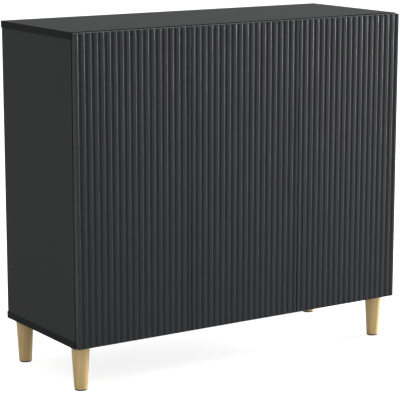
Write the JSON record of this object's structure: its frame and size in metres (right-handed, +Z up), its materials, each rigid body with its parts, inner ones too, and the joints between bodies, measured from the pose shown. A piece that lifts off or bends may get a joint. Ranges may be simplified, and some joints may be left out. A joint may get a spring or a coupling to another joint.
{
  "type": "sideboard buffet",
  "caption": "Black sideboard on light turned legs, with vertically ribbed push-open doors over shelved bays.",
  "frame": {"origin": "on the floor, in the middle of the plan of the whole piece, doors included", "axes": "+Z up; the doors face -Y; +X to the right as one faces the doors"},
  "size_m": [1.04, 0.4, 0.937],
  "materials": {
    "carcass_board": "matte black melamine board",
    "edge_band": "matte black edge band",
    "door_foil": "matte black foil over milled fibreboard",
    "leg_wood": "clear satin lacquer on light wood",
    "hardboard": "painted face, raw brown edges",
    "beech": "fluted raw beech",
    "nickel_steel": "nickel plated",
    "zinc": "zinc plated",
    "grey_plastic": "moulded",
    "black_plastic": "moulded",
    "felt": "pressed felt"
  },
  "bodies": {
    "case": {"back_nails": "zinc", "back_panel_narrow": "hardboard", "back_panel_wide": "hardboard", "bottom_edge_bands": "edge_band", "bottom_panel": "carcass_board", "cam_bolts": "zinc", "cam_covers": "black_plastic", "cam_locks": "zinc", "corner_dowels": "beech", "divider_panel": "carcass_board", "foot_glides": "felt", "hinge_arm_screws": "zinc", "hinge_arms": "nickel_steel", "hinge_pins": "nickel_steel", "hinge_plate_screws": "zinc", "hinge_plates": "nickel_steel", "latch_bodies": "black_plastic", "left_side_panel": "carcass_board", "leg_bolts": "zinc", "leg_front_left": "leg_wood", "leg_front_right": "leg_wood", "leg_inserts": "zinc", "leg_rear_left": "leg_wood", "leg_rear_right": "leg_wood", "right_side_panel": "carcass_board", "shelf_edge_bands": "edge_band", "shelf_narrow_lower": "carcass_board", "shelf_narrow_upper": "carcass_board", "shelf_pins": "nickel_steel", "shelf_wide_lower": "carcass_board", "shelf_wide_upper": "carcass_board", "top_edge_bands": "edge_band", "top_panel": "carcass_board", "upright_edge_bands": "edge_band"},
    "door_left": {"door_left": "door_foil", "hinge_cups_left": "nickel_steel", "cup_screws_left": "zinc", "strike_plate_left": "zinc"},
    "hinge_link_left": {"hinge_links_left": "nickel_steel"},
    "plunger_left": {"latch_plunger_left": "grey_plastic"},
    "door_middle": {"door_middle": "door_foil", "hinge_cups_middle": "nickel_steel", "cup_screws_middle": "zinc", "strike_plate_middle": "zinc"},
    "hinge_link_middle": {"hinge_links_middle": "nickel_steel"},
    "plunger_middle": {"latch_plunger_middle": "grey_plastic"},
    "door_right": {"door_right": "door_foil", "hinge_cups_right": "nickel_steel", "cup_screws_right": "zinc", "strike_plate_right": "zinc"},
    "hinge_link_right": {"hinge_links_right": "nickel_steel"},
    "plunger_right": {"latch_plunger_right": "grey_plastic"}
  },
  "joints": [
    {"name": "door_left_swing", "type": "hinge", "parent": "case", "child": "door_left", "pos_m": [-0.512, -0.197, 0.5285], "axis": [0, 0, -1], "range_deg": [0, 95]},
    {"name": "door_middle_swing", "type": "hinge", "parent": "case", "child": "door_middle", "pos_m": [0.16567, -0.197, 0.5285], "axis": [0, 0, 1], "range_deg": [0, 95]},
    {"name": "door_right_swing", "type": "hinge", "parent": "case", "child": "door_right", "pos_m": [0.512, -0.197, 0.5285], "axis": [0, 0, 1], "range_deg": [0, 95]},
    {"name": "hinge_link_left_turn", "type": "hinge", "parent": "case", "child": "hinge_link_left", "pos_m": [-0.474, -0.1775, 0.5285], "axis": [0, 0, 1], "range_deg": [0, 27]},
    {"name": "hinge_link_middle_turn", "type": "hinge", "parent": "case", "child": "hinge_link_middle", "pos_m": [0.12767, -0.1775, 0.5285], "axis": [0, 0, -1], "range_deg": [0, 27]},
    {"name": "hinge_link_right_turn", "type": "hinge", "parent": "case", "child": "hinge_link_right", "pos_m": [0.474, -0.1775, 0.5285], "axis": [0, 0, -1], "range_deg": [0, 27]},
    {"name": "latch_plunger_left_push", "type": "slide", "parent": "case", "child": "plunger_left", "axis": [0, 1, 0], "range_m": [0, 0.003], "stiffness_N_per_m": 800, "springref_m": -0.004},
    {"name": "latch_plunger_middle_push", "type": "slide", "parent": "case", "child": "plunger_middle", "axis": [0, 1, 0], "range_m": [0, 0.003], "stiffness_N_per_m": 800, "springref_m": -0.004},
    {"name": "latch_plunger_right_push", "type": "slide", "parent": "case", "child": "plunger_right", "axis": [0, 1, 0], "range_m": [0, 0.003], "stiffness_N_per_m": 800, "springref_m": -0.004}
  ],
  "couplings": [
    {"joint": "hinge_link_left_turn", "follows": "door_left_swing", "ratio": 0.28},
    {"joint": "hinge_link_middle_turn", "follows": "door_middle_swing", "ratio": 0.28},
    {"joint": "hinge_link_right_turn", "follows": "door_right_swing", "ratio": 0.28}
  ]
}
